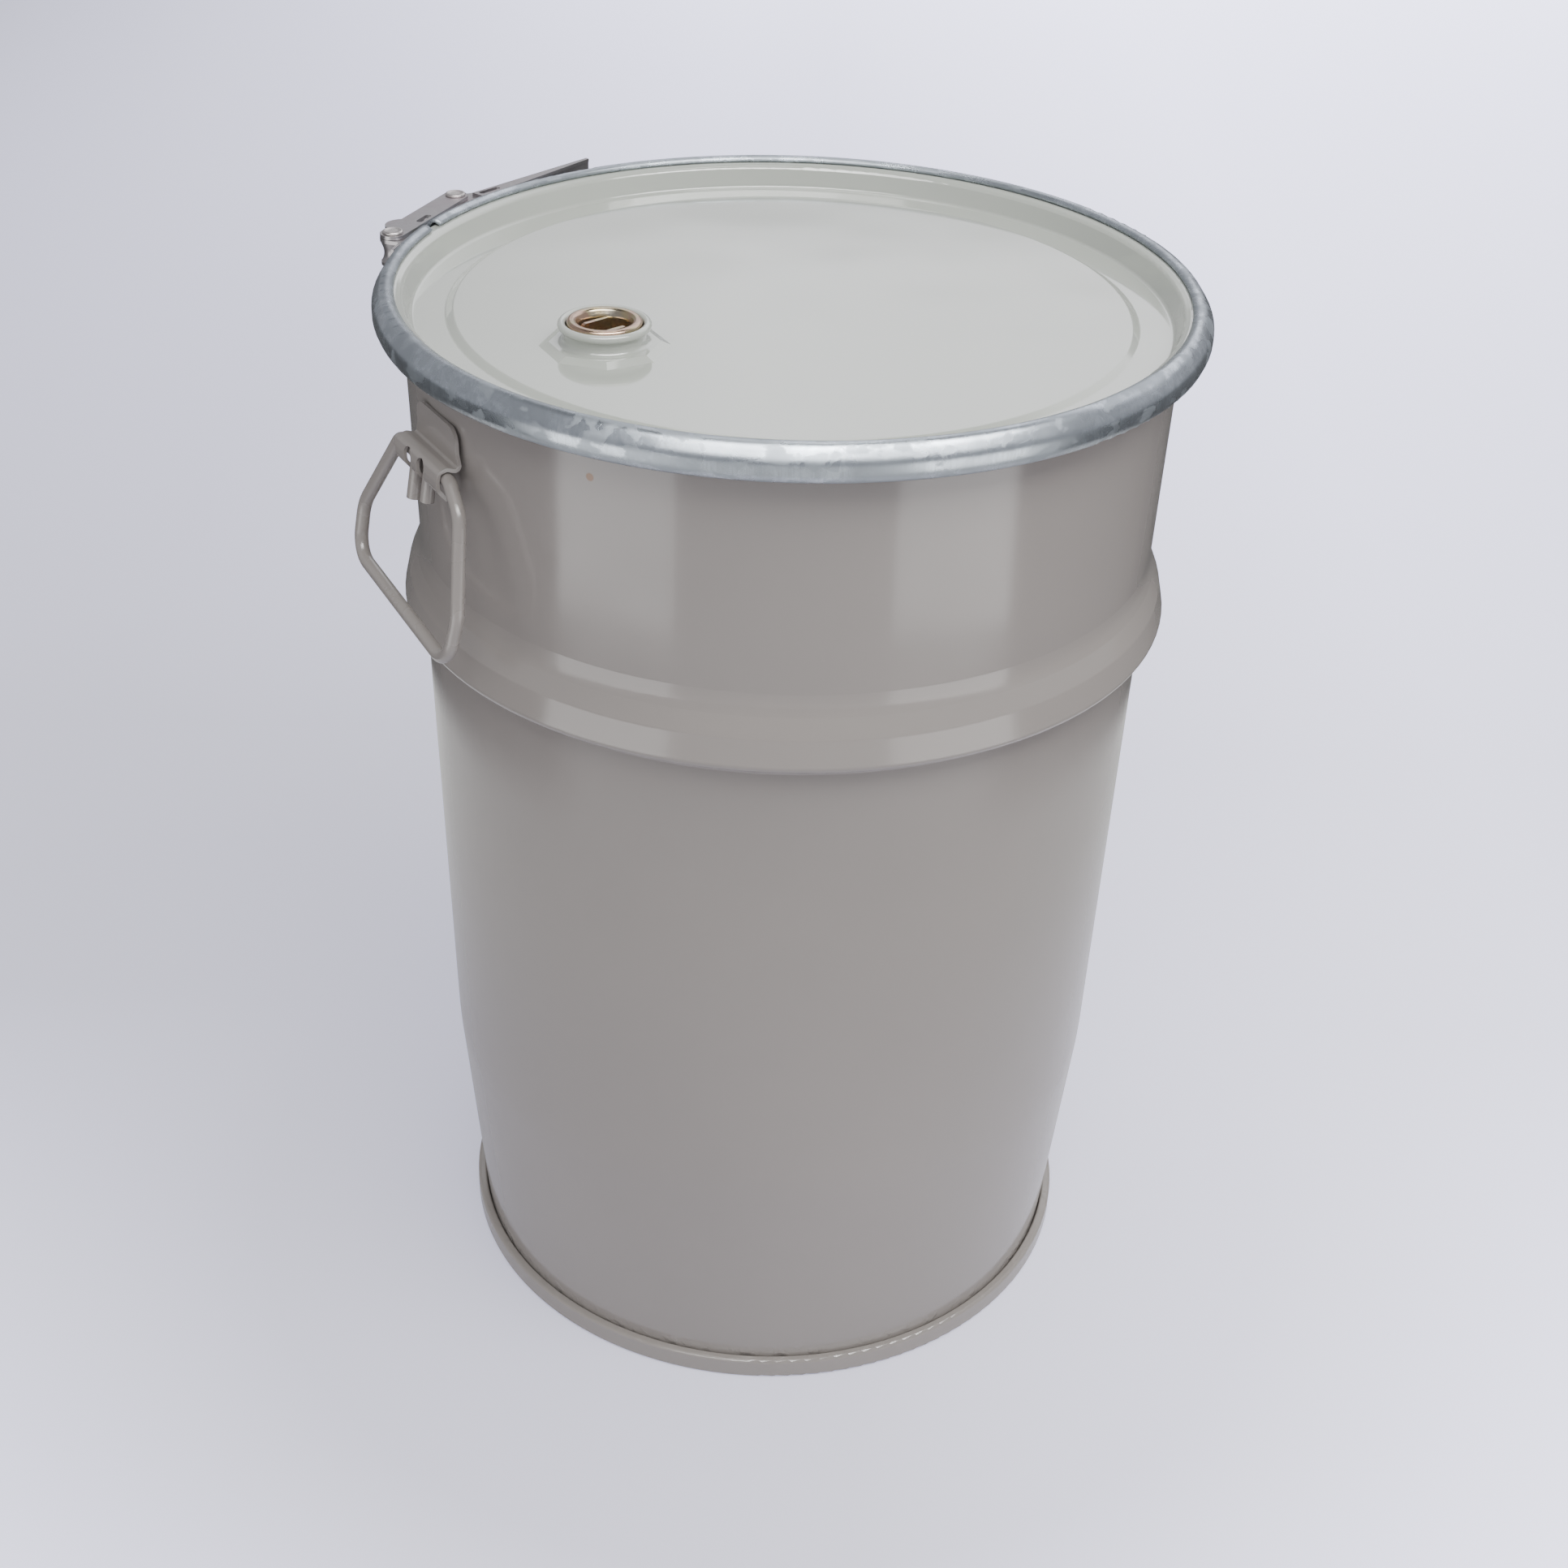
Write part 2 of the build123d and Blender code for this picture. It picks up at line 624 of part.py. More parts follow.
save(lock_link.part, "lock_link")

link_top = LINK_Z + LOCK_SHEET + GAP / 2
rivet_spots = {
    "link_lever_rivet": (LINK_PIN, LEVER_Z - GAP / 2, link_top, PIN_HEAD, PIN_TAIL),
    "link_bracket_rivet": (BRACKET_PIN, LINK_Z, link_top, PIN_HEAD, 0),
    "lever_pivot_rivet": (LEVER_PIN, lever_lug_z - GAP / 2, LEVER_Z + LEVER_SHEET - GAP, 0, PIN_TAIL),
}
for rivet_name, (along, foot_z, top_z, head, tail) in rivet_spots.items():
    x, y, _ = pin_place(along)
    with BuildPart() as rivet:
        with BuildSketch(spin_plane(x, y)):
            add(rivet_section(foot_z, top_z, head, tail))
        revolve(axis=upright(x, y))
    save(rivet.part, rivet_name)

# ---------------------------------------------------------------- bail handles and their hoods
SHOULDER = (56.5, 51.0)  # widest point of the bail, across and down from the hinge line
GRIP_CORNER = (54.5, 76.6)
BARREL_END = 27.8
KNEE = (41.5, 10.5)  # sharper first bend of one arm
STUB_PLACE = 7.2
STUB_LENGTHS = (21.5, 17.5)
STUB_BEND = 4.2
SLOT_GAP = 0.9
SLOT_HEIGHT = 40.0
PIP_RADIUS = 2.5
PIP_PLACES = (14.0, 6.0)  # spacing of the weld pips from the plate's middle, across and up
PIP_Z = 517.5


def skewed(across, down, skew):
    """Point of the bail turned a little in its own plane."""
    a = radians(skew)
    return (across * cos(a) - down * sin(a), -across * sin(a) - down * cos(a))


def hinge_way(angle):
    """Direction of a handle's hinge line."""
    a = radians(angle)
    return Vector(-sin(a), cos(a), 0)


def outward_way(angle, lean=0):
    """Direction away from the drum's axis, tipped down by the lean."""
    a = radians(angle)
    tip = radians(lean)
    return Vector(cos(a) * cos(tip), sin(a) * cos(tip), sin(tip))


def bail_plane(angle, swing):
    """Plane of the bail: x along its hinge, y up, swung out from plumb."""
    out = outward_way(angle) * BARREL_RADIUS
    origin = (out.X, out.Y, BARREL_Z)
    return Plane(origin=origin, x_dir=hinge_way(angle), z_dir=outward_way(angle, swing))


def hood_section_plane(angle):
    """Upright radial plane through the hood's middle: x outward, y up."""
    shift = hinge_way(angle) * HOOD_SHIFT
    return Plane(origin=shift, x_dir=outward_way(angle), z_dir=-hinge_way(angle))


def hood_front_plane(angle, radius, shift=0):
    """Upright plane facing outward: x along the hinge, y up."""
    origin = outward_way(angle) * radius + hinge_way(angle) * shift
    return Plane(origin=origin, x_dir=hinge_way(angle), z_dir=outward_way(angle))


hood_outer = HOOD_BORE + HOOD_SHEET
hood_top_z = BARREL_Z + hood_outer
hood_foot_z = BARREL_Z - HOOD_DROP
hood_front = BARREL_RADIUS + hood_outer
hood_points = [
    (PLATE_RADIUS + HOOD_SHEET, PLATE_TOP_Z),
    (PLATE_RADIUS + HOOD_SHEET, HOOD_FOLD_Z),
    (BARREL_RADIUS, hood_top_z + 0.3),
    (hood_front - 1.1, hood_top_z - 1.0),
    (hood_front, BARREL_Z),
    (hood_front, BARREL_Z - 4.5),
    (hood_front - 4.5, hood_foot_z),
]
hood_bends = [1.2, 3.0, 3.0, 6.0, 6.0]
hood_side = HOOD_LENGTH / 2
plate_side = PLATE_WIDTH / 2
# seen from outside: the hood below, the narrower plate with round corners above
hood_front_points = [
    (-hood_side, hood_foot_z - 1),
    (-hood_side, hood_top_z),
    (-plate_side, hood_top_z + 5),
    (-plate_side, PLATE_TOP_Z),
    (plate_side, PLATE_TOP_Z),
    (plate_side, hood_top_z + 5),
    (hood_side, hood_top_z),
    (hood_side, hood_foot_z - 1),
]
hood_front_bends = [2, 2, 7, 7, 2, 2]
slot_width = 2 * WIRE_RADIUS + 2 * SLOT_GAP
slot_middle_z = BARREL_Z + slot_width / 2 - SLOT_HEIGHT / 2
slot_start_radius = PLATE_RADIUS + HOOD_SHEET + 1
wall_slope = (MOUTH_RADIUS - NECK_RADIUS) / (MOUTH_Z - NECK_Z)
wall_foot_radius = MOUTH_RADIUS - wall_slope * (MOUTH_Z - hood_foot_z) + GAP
wall_top_radius = MOUTH_RADIUS - wall_slope * (MOUTH_Z - PLATE_TOP_Z) + GAP

for side_name, angle in HANDLE_ANGLES.items():
    skew = HANDLE_SKEWS[side_name]
    with BuildPart() as bail_handle:
        with BuildLine(bail_plane(angle, HANDLE_SWINGS[side_name])) as path:
            FilletPolyline(
                (-STUB_PLACE, -STUB_LENGTHS[0]),
                (-STUB_PLACE, 0),
                (-BARREL_END, 0),
                skewed(-SHOULDER[0], SHOULDER[1], skew),
                skewed(-GRIP_CORNER[0], GRIP_CORNER[1], skew),
                skewed(GRIP_CORNER[0], GRIP_CORNER[1], skew),
                skewed(SHOULDER[0], SHOULDER[1], skew),
                (KNEE[0], -KNEE[1]),
                (BARREL_END, 0),
                (STUB_PLACE, 0),
                (STUB_PLACE, -STUB_LENGTHS[1]),
                radius=[STUB_BEND, 7, 20, 13, 13, 20, 14, 7, STUB_BEND],
            )
        with BuildSketch(Plane(origin=path.line @ 0, z_dir=path.line % 0)):
            Circle(WIRE_RADIUS)
        sweep(path=path.line)
    save(bail_handle.part, f"bail_handle_{side_name}")

    with BuildPart() as handle_bracket:
        with BuildSketch(hood_section_plane(angle)):
            add(bent_sheet(hood_points, hood_bends, HOOD_SHEET, Side.RIGHT))
        extrude(amount=hood_side, both=True)
        with BuildSketch(hood_front_plane(angle, PLATE_RADIUS, HOOD_SHIFT)):
            add(closed_profile(hood_front_points, hood_front_bends))
        extrude(amount=hood_outer + BARREL_RADIUS, mode=Mode.INTERSECT)
        # slots that the stubs swing through
        with BuildSketch(hood_front_plane(angle, slot_start_radius)):
            with Locations((-STUB_PLACE, slot_middle_z), (STUB_PLACE, slot_middle_z)):
                SlotOverall(SLOT_HEIGHT, slot_width, rotation=90)
        extrude(amount=hood_front, mode=Mode.SUBTRACT)
        # weld pips between the flat plate and the round wall
        with BuildSketch(hood_front_plane(angle, PLATE_RADIUS + GAP, HOOD_SHIFT)):
            with Locations((0, PIP_Z)):
                with GridLocations(2 * PIP_PLACES[0], 2 * PIP_PLACES[1], 2, 2):
                    Circle(PIP_RADIUS)
        extrude(amount=-3)
        with BuildSketch(Plane.XZ):
            with BuildLine():
                Polyline(
                    (0, hood_foot_z),
                    (wall_foot_radius, hood_foot_z),
                    (wall_top_radius, PLATE_TOP_Z),
                    (0, PLATE_TOP_Z),
                    close=True,
                )
            make_face()
        revolve(axis=Axis.Z, mode=Mode.SUBTRACT)
    save(handle_bracket.part, f"handle_bracket_{side_name}")
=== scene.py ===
"""Salvage drum in a pale photo studio: finishes, small surface details, light and camera."""

import json
import math

import bpy
from mathutils import Matrix, Vector

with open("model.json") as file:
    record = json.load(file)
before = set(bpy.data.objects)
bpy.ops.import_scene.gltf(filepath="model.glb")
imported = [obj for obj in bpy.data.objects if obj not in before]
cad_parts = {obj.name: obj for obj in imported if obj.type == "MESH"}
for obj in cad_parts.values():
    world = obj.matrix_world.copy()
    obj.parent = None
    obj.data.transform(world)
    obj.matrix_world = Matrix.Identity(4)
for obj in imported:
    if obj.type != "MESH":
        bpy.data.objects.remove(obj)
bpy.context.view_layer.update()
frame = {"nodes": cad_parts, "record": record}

# ---------------------------------------------------------------- finishes, linear colour
BODY_GREY = (0.262, 0.240, 0.218)
LID_GREY = (0.395, 0.415, 0.37)
GALVANISED = (0.52, 0.57, 0.62)
ZINC = (0.40, 0.385, 0.39)
LOCK_TINT = (0.36, 0.30, 0.33)
INSERT_TINT = (0.45, 0.43, 0.38)
RIVET = (0.60, 0.57, 0.55)
RIVET_TINT = (0.55, 0.47, 0.46)
RUBBER = (0.012, 0.012, 0.012)
COMPOUND = (0.05, 0.045, 0.035)
PASSIVATION_BANDS = (
    (0.0, (0.44, 0.33, 0.22)),
    (0.35, (0.52, 0.36, 0.27)),
    (0.6, (0.50, 0.42, 0.26)),
    (1.0, (0.40, 0.36, 0.29)),
)
# one chip on the wall and a rust mark between the handle's stubs: centre, radius, colour
TAN_SPOT = ((-0.0838, -0.1661, 0.5290), 0.0022, (0.22, 0.11, 0.05))
RUST_SPOT = ((-0.1688, -0.1035, 0.4975), 0.0032, (0.15, 0.06, 0.03))
SEAM_DRIPS = (0.0105, 0.0125, 0.013, 0.019)  # heights where the drips start, are full, thin out and end
RING_BEND = 0.0042  # the ring's bends read as round over this radius
SMOOTH_ANGLE = 32  # sharper folds than this stay crisp

# ---------------------------------------------------------------- studio
STUDIO_WHITE = (0.66, 0.65, 0.72)
FLOOR_HALF = 8.0
LEFT_SHADE = 0.74  # the sweep is a little darker at the left
GLOW_COLOUR = (0.84, 0.85, 1.16)
SWEEP_GLOW = 0.40
BACK_GLOW = 2.0
FRONT_GLOW = 1.5
RIGHT_GLOW = 0.7

# what the drum mirrors from below: a table, the dark room past its edge, and two lamps
TABLE_EDGE = 0.64
TABLE_SOFT = 0.06
TABLE_LIGHT = 0.85
ROOM_LIGHT = 0.10
ROOM_SIDE = (math.radians(55), math.radians(70))
LAMP_LIGHT = 3.0
LAMP_START = math.radians(29)
LAMP_START_SOFT = 0.03
LAMP_END = math.radians(67)
LAMP_END_SOFT = 0.05
LAMP_NEAR = 0.93
LAMP_NEAR_SOFT = 0.05
MIRROR_CLEAR = (0.3, 0.55)  # the mirrored floor fades in over these distances from the axis

# what the drum mirrors from above: pale walls, a bright window behind it and a dark ceiling
AIR_COLOUR = (0.94, 0.94, 1.0)
AIR_LIGHT = 0.86
WALL_LIGHT = 0.40
WINDOW_LIGHT = 2.1
WINDOW_FOOT = math.radians(16.8)
WINDOW_SOFT = math.radians(2.4)
WINDOW_SIDE = (-0.24, -0.02)
WINDOW_BACK = (0.2, 0.5)
CEILING_LIGHT = 0.06
CEILING_START = math.radians(44)
CEILING_FULL = math.radians(58)

# ---------------------------------------------------------------- camera
CAMERA_PLACE = (0.0, -1.0468, 0.9348)
CAMERA_AIM = (0.0036, 0.0, 0.2739)
CAMERA_ROLL = 2.03
LENS = 52.14
SENSOR = 36.0


# ---------------------------------------------------------------- shader helpers
def start(name):
    """A new material with an empty node tree."""
    material = bpy.data.materials.new(name)
    material.use_nodes = True
    material.node_tree.nodes.clear()
    return material, material.node_tree


def add(tree, kind, inputs=None, **settings):
    """Add a node; inputs are sockets to link or plain values."""
    node = tree.nodes.new(kind)
    for key, value in settings.items():
        setattr(node, key, value)
    for key, value in (inputs or {}).items():
        if isinstance(value, bpy.types.NodeSocket):
            tree.links.new(value, node.inputs[key])
        else:
            node.inputs[key].default_value = value
    return node


def place(tree, stretch=(1, 1, 1)):
    """Position on the object in metres, stretched for streaks."""
    where = add(tree, "ShaderNodeTexCoord").outputs["Object"]
    return add(tree, "ShaderNodeMapping", {"Vector": where, "Scale": stretch}).outputs[0]


def noise(tree, scale, detail=2.0, stretch=(1, 1, 1), distortion=0.0):
    """Cloudy value from 0 to 1."""
    inputs = {"Vector": place(tree, stretch), "Scale": scale, "Detail": detail, "Distortion": distortion}
    return add(tree, "ShaderNodeTexNoise", inputs).outputs["Fac"]


def remap(tree, value, low, high, to_low=0.0, to_high=1.0):
    """Value scaled from one range to another and clamped."""
    inputs = {0: value, 1: low, 2: high, 3: to_low, 4: to_high}
    return add(tree, "ShaderNodeMapRange", inputs, clamp=True).outputs[0]


def calculate(tree, operation, first, second=0.0):
    """One arithmetic step."""
    return add(tree, "ShaderNodeMath", {0: first, 1: second}, operation=operation).outputs[0]


def times(tree, first, second):
    """Product of two values."""
    return calculate(tree, "MULTIPLY", first, second)


def plus(tree, first, second):
    """Sum of two values."""
    return calculate(tree, "ADD", first, second)


def mix(tree, factor, first, second):
    """Blend of two colours, given as sockets or as red, green and blue."""
    node = tree.nodes.new("ShaderNodeMix")
    node.data_type = "RGBA"
    for index, value in ((0, factor), (6, first), (7, second)):
        if isinstance(value, bpy.types.NodeSocket):
            tree.links.new(value, node.inputs[index])
        elif index == 0:
            node.inputs[0].default_value = value
        else:
            node.inputs[index].default_value = (*value, 1)
    return node.outputs[2]


def scaled(colour, factor):
    """The colour made lighter or darker."""
    return tuple(channel * factor for channel in colour)


def grey(level):
    """Neutral colour of one level."""
    return (level, level, level)


def bump(tree, height, distance, below=None):
    """Normal roughened by a height in metres, stacked on an earlier one."""
    inputs = {"Height": height, "Distance": distance, "Strength": 1.0}
    if below is not None:
        inputs["Normal"] = below
    return add(tree, "ShaderNodeBump", inputs).outputs[0]


def finish_shader(tree, colour, roughness, metallic=0.0, normal=None, coat=0.0):
    """Principled surface joined to the output."""
    inputs = {"Roughness": roughness, "Metallic": metallic, "Coat Weight": coat, "Coat Roughness": 0.03}
    inputs["Base Color"] = colour if isinstance(colour, bpy.types.NodeSocket) else (*colour, 1)
    if normal is not None:
        inputs["Normal"] = normal
    surface = add(tree, "ShaderNodeBsdfPrincipled", inputs)
    add(tree, "ShaderNodeOutputMaterial", {"Surface": surface.outputs[0]})


def specks(tree, cell, size, share):
    """Mask of small round specks, one in some cells of a random grid."""
    grid = add(tree, "ShaderNodeTexVoronoi", {"Vector": place(tree), "Scale": 1 / cell})
    near = remap(tree, grid.outputs["Distance"], size / cell, 0.6 * size / cell)
    chosen = add(tree, "ShaderNodeSeparateColor", {0: grid.outputs["Color"]}).outputs[0]
    return times(tree, near, calculate(tree, "LESS_THAN", chosen, share))


def spot(tree, centre, radius):
    """Mask of one round spot."""
    offset = add(tree, "ShaderNodeVectorMath", {0: place(tree), 1: centre}, operation="DISTANCE")
    return remap(tree, offset.outputs["Value"], radius, 0.7 * radius)


# ---------------------------------------------------------------- finishes
def paint(name, colour, roughness, peel=0.00002, seam=False, spots=(), coat=0.35):
    """Enamel on sheet steel: faint orange peel, slow waves, dust specks and a clear gloss."""
    material, tree = start(name)
    cloud = noise(tree, 7.0, 3.0)
    tone = mix(tree, remap(tree, cloud, 0.3, 0.7), scaled(colour, 0.975), scaled(colour, 1.025))
    dust = specks(tree, 0.055, 0.0007, 0.25)
    tone = mix(tree, times(tree, dust, 0.8), tone, scaled(colour, 0.15))
    for centre, radius, spot_colour in spots:
        tone = mix(tree, spot(tree, centre, radius), tone, spot_colour)
    waves = bump(tree, noise(tree, 11.0, 1.0), 0.0012)
    normal = bump(tree, noise(tree, 620.0, 2.0), peel, waves)
    if seam:
        drip_start, drip_full, drip_thin, drip_end = SEAM_DRIPS
        height = add(tree, "ShaderNodeSeparateXYZ", {0: place(tree)}).outputs[2]
        above_foot = remap(tree, height, drip_start, drip_full)
        near_seam = times(tree, above_foot, remap(tree, height, drip_end, drip_thin))
        drips = remap(tree, noise(tree, 170.0, 3.0, (1, 1, 0.7)), 0.50, 0.72)
        normal = bump(tree, times(tree, near_seam, drips), 0.0005, normal)
    rough = remap(tree, noise(tree, 30.0, 4.0), 0.3, 0.7, roughness * 0.85, roughness * 1.15)
    finish_shader(tree, tone, rough, normal=normal, coat=coat)
    return material


def galvanised(name):
    """Hot-dip sheet with faint spangle, cloudy and worn patches and fine upright scratches."""
    material, tree = start(name)
    spangle = add(tree, "ShaderNodeTexVoronoi", {"Vector": place(tree), "Scale": 190.0})
    flake = add(tree, "ShaderNodeSeparateColor", {0: spangle.outputs["Color"]}).outputs[1]
    cloud = noise(tree, 30.0, 5.0, distortion=0.2)
    tone = mix(tree, flake, scaled(GALVANISED, 0.90), scaled(GALVANISED, 1.12))
    tone = mix(tree, remap(tree, cloud, 0.44, 0.60), tone, scaled(GALVANISED, 0.74))
    patches = remap(tree, noise(tree, 75.0, 6.0, (1, 1, 1.6), 0.2), 0.54, 0.60)
    tone = mix(tree, times(tree, patches, 0.6), tone, scaled(GALVANISED, 0.62))
    scratches = remap(tree, noise(tree, 700.0, 2.0, (1, 1, 0.06)), 0.45, 0.62)
    tone = mix(tree, times(tree, scratches, 0.35), tone, scaled(GALVANISED, 0.7))
    rough = remap(tree, cloud, 0.35, 0.7, 0.20, 0.34)
    rough = plus(tree, rough, times(tree, patches, 0.22))
    rounded = add(tree, "ShaderNodeBevel", {"Radius": RING_BEND}, samples=8).outputs[0]
    dents = bump(tree, noise(tree, 60.0, 3.0), 0.00006, rounded)
    finish_shader(tree, tone, rough, 0.92, bump(tree, flake, 0.00001, dents))
    return material


def plated(name, colour, tint, roughness=0.34):
    """Thin zinc plating over pressed steel, clouded by a second tint."""
    material, tree = start(name)
    cloud = noise(tree, 55.0, 4.0, distortion=0.8)
    fine = noise(tree, 420.0, 3.0)
    tone = mix(tree, remap(tree, cloud, 0.40, 0.66, 0.0, 0.5), colour, tint)
    tone = mix(tree, remap(tree, fine, 0.35, 0.65, 0.0, 0.25), tone, scaled(colour, 0.72))
    rough = remap(tree, cloud, 0.3, 0.7, roughness * 0.8, roughness * 1.35)
    finish_shader(tree, tone, rough, 0.9, bump(tree, fine, 0.00004))
    return material


def yellow_passivated(name):
    """Yellow chromate over zinc, which drifts between gold, pink and green."""
    material, tree = start(name)
    drift = noise(tree, 60.0, 2.0, distortion=1.2)
    ramp = add(tree, "ShaderNodeValToRGB", {"Fac": remap(tree, drift, 0.28, 0.72)})
    stops = ramp.color_ramp.elements
    while len(stops) < len(PASSIVATION_BANDS):
        stops.new(0.5)
    for stop, (position, colour) in zip(stops, PASSIVATION_BANDS):
        stop.position = position
        stop.color = (*colour, 1)
    fine = noise(tree, 500.0, 2.0)
    rough = remap(tree, fine, 0.3, 0.7, 0.16, 0.26)
    finish_shader(tree, ramp.outputs[0], rough, 0.95, bump(tree, fine, 0.000003))
    return material


def rubber(name, colour=RUBBER):
    """Moulded rubber or set compound with a dusty bloom."""
    material, tree = start(name)
    bloom = noise(tree, 150.0, 4.0)
    tone = mix(tree, remap(tree, bloom, 0.45, 0.75, 0.0, 0.5), colour, scaled(colour, 3.0))
    finish_shader(tree, tone, remap(tree, bloom, 0.3, 0.7, 0.5, 0.75), 0.0, bump(tree, bloom, 0.0001))
    return material


# a node's finish goes by its material slot
finishes = {
    "body_paint": paint("body_enamel", BODY_GREY, 0.16, seam=True, spots=[TAN_SPOT]),
    "lid_paint": paint("lid_enamel", LID_GREY, 0.10, coat=1.0),
    "bracket_paint": paint("bracket_enamel", BODY_GREY, 0.20, spots=[RUST_SPOT]),
    "handle_paint": paint("handle_enamel", BODY_GREY, 0.26, peel=0.00004, spots=[RUST_SPOT]),
    "galvanised_steel": galvanised("galvanised_sheet"),
    "lock_zinc": plated("lock_plating", ZINC, LOCK_TINT),
    "rivet_steel": plated("rivet_plating", RIVET, RIVET_TINT, roughness=0.28),
    "insert_zinc": plated("insert_plating", ZINC, INSERT_TINT),
    "yellow_zinc": yellow_passivated("yellow_passivated_zinc"),
    "gasket_rubber": rubber("gasket_rubber"),
    "sealing_compound": rubber("seam_compound_mass", COMPOUND),
}

for entry in frame["record"]["subparts"]:
    part = frame["nodes"][entry["node"]]
    part.data.materials.clear()
    part.data.materials.append(finishes[entry["material_slot"]])
    part.data.shade_smooth()
    part.data.set_sharp_from_angle(angle=math.radians(SMOOTH_ANGLE))


# ---------------------------------------------------------------- floor
def camera_glow(tree, x, y, distance):
    """Pools of light on the sweep that only the camera sees."""
    clear_of_drum = remap(tree, distance, 0.30, 0.62)
    back = times(tree, remap(tree, y, 0.5, 3.2), remap(tree, x, -1.6, -0.1, -0.1, 1.0))
    front = times(tree, remap(tree, y, 0.15, -0.42), clear_of_drum)
    right = remap(tree, x, 0.05, 0.55)
    pool = plus(tree, times(tree, back, BACK_GLOW), SWEEP_GLOW)
    pool = plus(tree, pool, times(tree, front, FRONT_GLOW))
    pool = plus(tree, pool, times(tree, right, RIGHT_GLOW))
    return times(tree, pool, add(tree, "ShaderNodeLightPath").outputs["Is Camera Ray"])


def mirrored_floor(tree, x, y, distance):
    """Colour of the floor in mirrors: the table, then the dark room with two lamps' bright faces."""
    side = calculate(tree, "ARCTAN2", calculate(tree, "ABSOLUTE", x), times(tree, y, -1.0))
    past_table = remap(tree, distance, TABLE_EDGE, TABLE_EDGE + TABLE_SOFT)
    dark = times(tree, past_table, remap(tree, side, *ROOM_SIDE))
    lamp_start = remap(tree, side, LAMP_START, LAMP_START + LAMP_START_SOFT)
    lamp_face = times(tree, lamp_start, remap(tree, side, LAMP_END, LAMP_END - LAMP_END_SOFT))
    lamp_face = times(tree, lamp_face, remap(tree, distance, LAMP_NEAR, LAMP_NEAR + LAMP_NEAR_SOFT))
    mirrored = mix(tree, dark, grey(TABLE_LIGHT), grey(ROOM_LIGHT))
    return mix(tree, lamp_face, mirrored, grey(LAMP_LIGHT))


def studio_floor():
    """Pale sweep, seen in one way by the camera and in another by the drum's gloss."""
    mesh = bpy.data.meshes.new("studio_floor")
    half = FLOOR_HALF
    corners = [(-half, -half, 0), (half, -half, 0), (half, half, 0), (-half, half, 0)]
    mesh.from_pydata(corners, [], [(0, 1, 2, 3)])
    plane = bpy.data.objects.new("studio_floor", mesh)
    bpy.context.scene.collection.objects.link(plane)
    material, tree = start("studio_sweep")
    where = add(tree, "ShaderNodeSeparateXYZ", {0: place(tree)})
    x, y = where.outputs[0], where.outputs[1]
    distance = calculate(tree, "SQRT", plus(tree, times(tree, x, x), times(tree, y, y)))
    drift = remap(tree, noise(tree, 1.3, 2.0), 0.3, 0.7, -0.05, 0.05)
    to_the_right = plus(tree, remap(tree, x, -0.55, 0.15), drift)
    inputs = {
        "Base Color": mix(tree, to_the_right, scaled(STUDIO_WHITE, LEFT_SHADE), STUDIO_WHITE),
        "Roughness": 0.6,
        "Emission Color": (*GLOW_COLOUR, 1),
        "Emission Strength": camera_glow(tree, x, y, distance),
    }
    seen = add(tree, "ShaderNodeBsdfPrincipled", inputs)
    mirrored = mirrored_floor(tree, x, y, distance)
    glow = add(tree, "ShaderNodeEmission", {"Color": mirrored, "Strength": 1.0})
    glossy = add(tree, "ShaderNodeLightPath").outputs["Is Glossy Ray"]
    share = times(tree, glossy, remap(tree, distance, *MIRROR_CLEAR))
    both = add(tree, "ShaderNodeMixShader", {0: share, 1: seen.outputs[0], 2: glow.outputs[0]})
    add(tree, "ShaderNodeOutputMaterial", {"Surface": both.outputs[0]})
    mesh.materials.append(material)


studio_floor()


# ---------------------------------------------------------------- light
def lamp(name, position, target, width, height, power, mirrored=True, lights=True):
    """Rectangular soft light aimed at a point; it may leave no highlight, or only a highlight."""
    light = bpy.data.lights.new(name, "AREA")
    light.shape = "RECTANGLE"
    light.size = width
    light.size_y = height
    light.energy = power
    holder = bpy.data.objects.new(name, light)
    holder.location = position
    way = Vector(target) - Vector(position)
    holder.rotation_euler = way.to_track_quat("-Z", "Y").to_euler()
    holder.visible_glossy = mirrored
    holder.visible_diffuse = lights
    bpy.context.scene.collection.objects.link(holder)


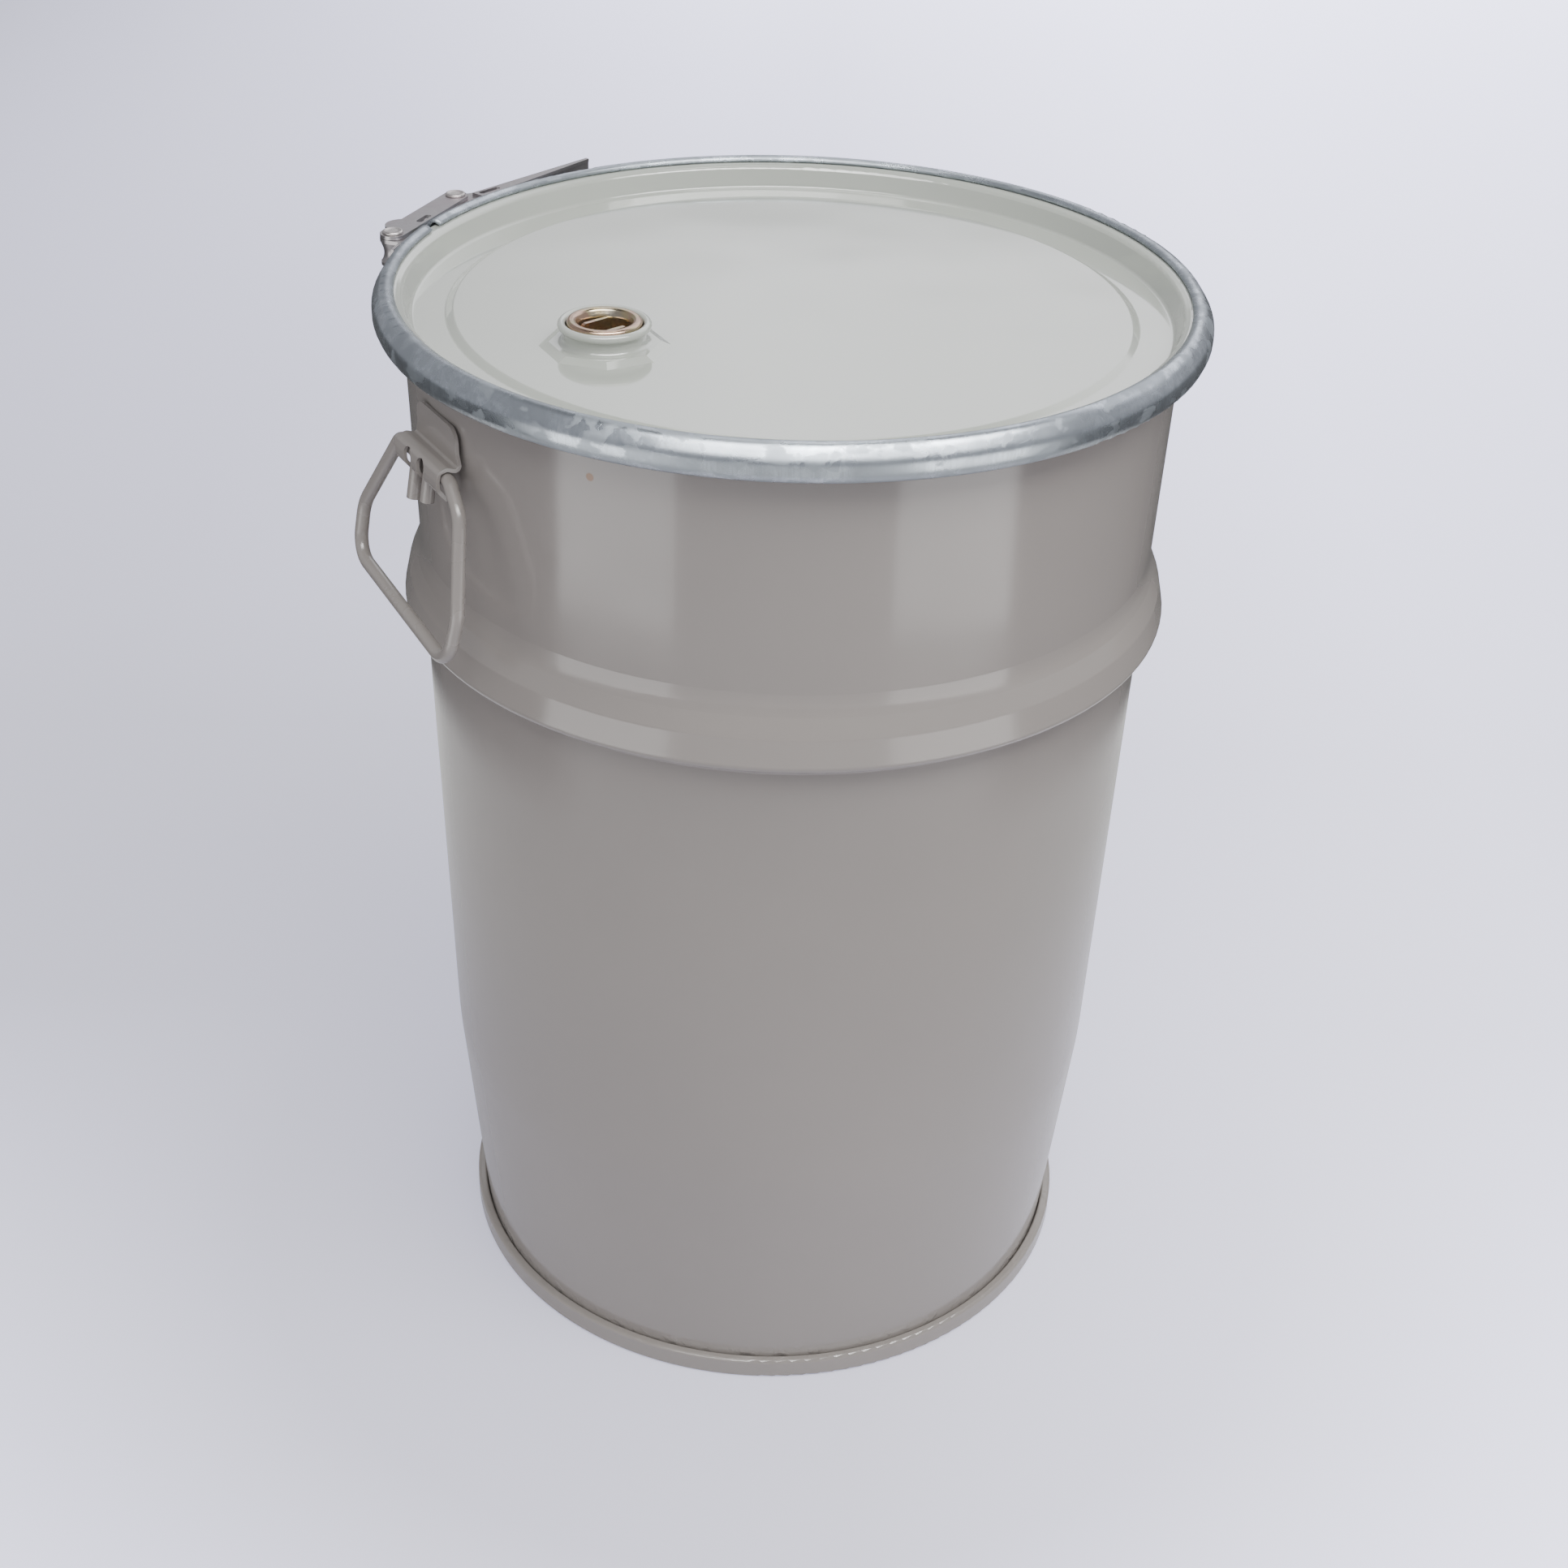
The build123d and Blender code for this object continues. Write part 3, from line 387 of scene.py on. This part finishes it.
lamp("top_softbox", (0.5, -0.2, 2.2), (0, 0, 0.4), 1.0, 1.0, 8, mirrored=False)
lamp("front_softbox", (0.65, -1.15, 2.35), (0, 0, 0.5), 2.6, 0.9, 56)
lamp("boss_strip", (-0.08, 0.62, 2.5), (-0.08, 0.0, 0.5), 0.9, 0.4, 6)
lamp("ring_glint", (0.25, -1.15, 2.35), (0, 0, 0.5), 2.8, 0.9, 70, lights=False)
lamp("left_softbox", (-1.9, -0.9, 1.2), (0, 0, 0.3), 1.0, 1.0, 4, mirrored=False)
lamp("right_softbox", (1.9, -0.7, 1.3), (0, 0, 0.3), 1.0, 1.0, 5, mirrored=False)


def studio_air():
    """Even lavender-white light. In mirrors the ceiling is dark and a window glows behind the drum."""
    world = bpy.data.worlds.new("studio_air")
    world.use_nodes = True
    tree = world.node_tree
    tree.nodes.clear()
    way = add(tree, "ShaderNodeTexCoord").outputs["Generated"]
    parts = add(tree, "ShaderNodeSeparateXYZ", {0: way})
    height = parts.outputs[2]
    above_sill = remap(tree, height, math.sin(WINDOW_FOOT), math.sin(WINDOW_FOOT + WINDOW_SOFT))
    window = times(tree, above_sill, remap(tree, parts.outputs[0], *WINDOW_SIDE))
    window = times(tree, window, remap(tree, parts.outputs[1], *WINDOW_BACK))
    walls = mix(tree, window, scaled(AIR_COLOUR, WALL_LIGHT), scaled(AIR_COLOUR, WINDOW_LIGHT))
    ceiling = remap(tree, height, math.sin(CEILING_START), math.sin(CEILING_FULL))
    mirrored = mix(tree, ceiling, walls, scaled(AIR_COLOUR, CEILING_LIGHT))
    glossy = add(tree, "ShaderNodeLightPath").outputs["Is Glossy Ray"]
    seen = mix(tree, glossy, scaled(AIR_COLOUR, AIR_LIGHT), mirrored)
    glow = add(tree, "ShaderNodeBackground", {"Color": seen, "Strength": 1.0})
    add(tree, "ShaderNodeOutputWorld", {"Surface": glow.outputs[0]})
    bpy.context.scene.world = world


studio_air()

# ---------------------------------------------------------------- camera
eye = bpy.data.cameras.new("photo_camera")
eye.lens = LENS
eye.sensor_width = SENSOR
eye.sensor_fit = "HORIZONTAL"
eye.clip_start = 0.01
photo_camera = bpy.data.objects.new("photo_camera", eye)
bpy.context.scene.collection.objects.link(photo_camera)
look = Vector(CAMERA_AIM) - Vector(CAMERA_PLACE)
turned = look.to_track_quat("-Z", "Y").to_matrix().to_4x4()
roll = Matrix.Rotation(math.radians(CAMERA_ROLL), 4, "Z")
photo_camera.matrix_world = Matrix.Translation(CAMERA_PLACE) @ turned @ roll
bpy.context.scene.camera = photo_camera
